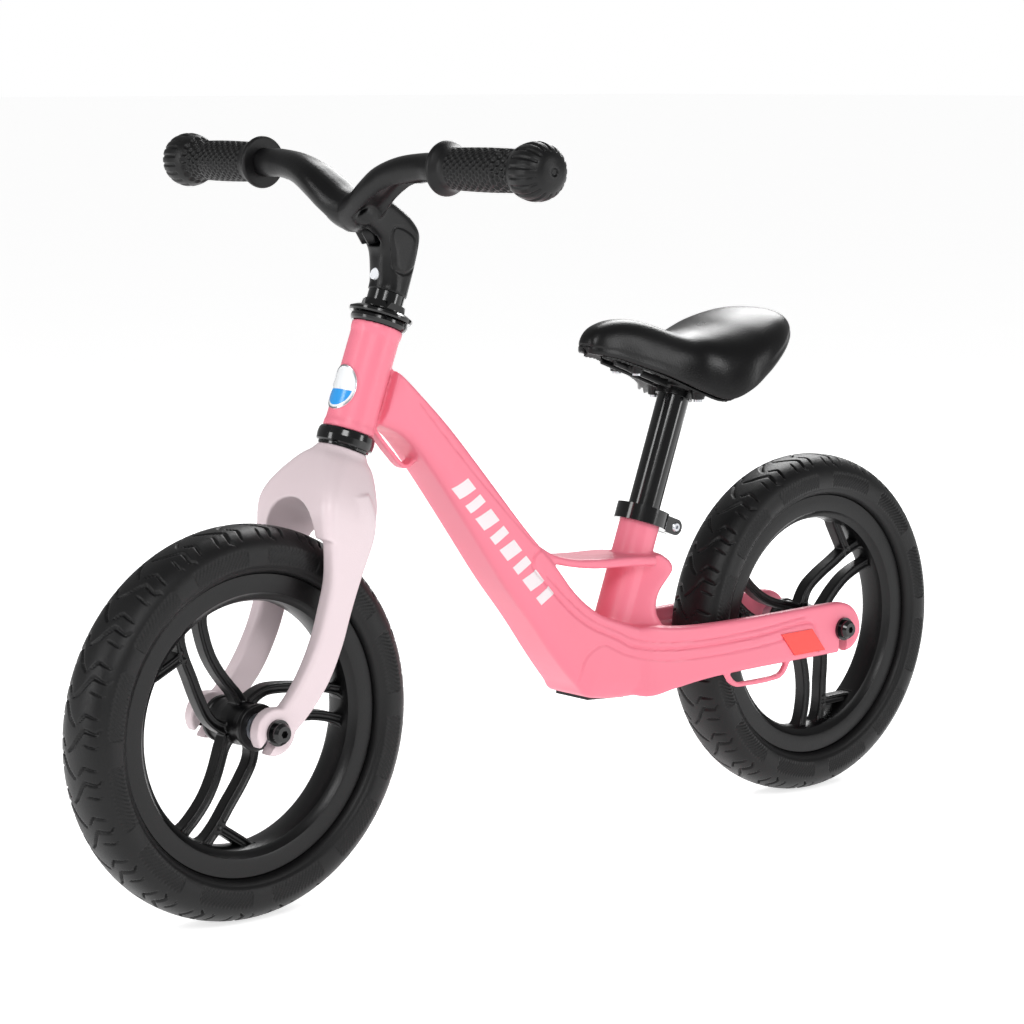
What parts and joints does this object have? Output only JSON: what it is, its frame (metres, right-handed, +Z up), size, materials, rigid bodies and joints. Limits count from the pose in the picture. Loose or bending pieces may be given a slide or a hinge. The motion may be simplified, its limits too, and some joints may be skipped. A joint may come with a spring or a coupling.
{
  "type": "balance bike",
  "caption": "Child's balance bike without pedals: moulded frame and fork, foam tyres on moulded wheels, curved handlebar with grips, and a sliding saddle.",
  "frame": {"origin": "on the ground, midway between the two axles, on the middle plane", "axes": "+X forward, +Y to the rider's left, +Z up"},
  "size_m": [0.922, 0.452, 0.5845],
  "materials": {
    "frame_plastic": "satin moulded nylon, fine grain",
    "fork_plastic": "satin moulded nylon, fine grain",
    "black_plastic": "satin moulded nylon",
    "black_metal": "gloss black coat",
    "steel": "zinc plated",
    "tyre_foam": "matte foam rubber",
    "grip_rubber": "matte soft rubber",
    "saddle_skin": "satin integral-skin foam",
    "reflector_red": "prismatic reflective sheet",
    "badge_face": "gloss",
    "plug_plastic": "gloss"
  },
  "bodies": {
    "frame": {"frame_moulding": "frame_plastic", "headset_upper_cup": "black_metal", "headset_lower_cup": "black_metal", "headset_upper_bearing": "steel", "headset_lower_bearing": "steel", "head_badge": "badge_face", "reflector_left": "reflector_red", "reflector_right": "reflector_red", "belly_pad": "grip_rubber", "seat_clamp": "black_metal", "seat_clamp_bolt": "steel", "seat_clamp_nut": "steel", "rear_axle": "steel", "rear_axle_bolts": "black_metal", "rear_washers": "black_metal", "rear_spacers": "steel"},
    "steering": {"fork": "fork_plastic", "steerer_tube": "steel", "crown_race": "black_metal", "headset_top_race": "black_metal", "lock_washer": "black_metal", "lock_nut": "black_metal", "steerer_spacer": "black_metal", "handlebar": "black_plastic", "stem_bolt": "steel", "stem_plug": "plug_plastic", "grip_left": "grip_rubber", "grip_right": "grip_rubber", "front_axle": "steel", "front_axle_bolts": "black_metal", "front_washers": "black_metal", "front_spacers": "steel"},
    "front_wheel": {"front_rim": "black_plastic", "front_tyre": "tyre_foam", "front_bearing_left": "steel", "front_bearing_right": "steel", "front_hub_sleeve": "steel"},
    "rear_wheel": {"rear_rim": "black_plastic", "rear_tyre": "tyre_foam", "rear_bearing_left": "steel", "rear_bearing_right": "steel", "rear_hub_sleeve": "steel"},
    "saddle": {"seat_post": "black_metal", "seat_post_plug": "black_plastic", "saddle_collar": "black_plastic", "saddle_shell": "black_plastic", "saddle_cover": "saddle_skin", "saddle_screws": "steel"}
  },
  "joints": [
    {"name": "steering", "type": "hinge", "parent": "frame", "child": "steering", "pos_m": [0.2048, 0, 0.3608], "axis": [-0.3584, 0, 0.9336], "continuous": true},
    {"name": "front_wheel_spin", "type": "hinge", "parent": "steering", "child": "front_wheel", "pos_m": [0.311, 0, 0.15], "axis": [0, 1, 0], "continuous": true},
    {"name": "rear_wheel_spin", "type": "hinge", "parent": "frame", "child": "rear_wheel", "pos_m": [-0.311, 0, 0.15], "axis": [0, 1, 0], "continuous": true},
    {"name": "seat_height", "type": "slide", "parent": "frame", "child": "saddle", "axis": [-0.3535, 0, 0.9354], "range_m": [-0.07, 0.01]}
  ]
}
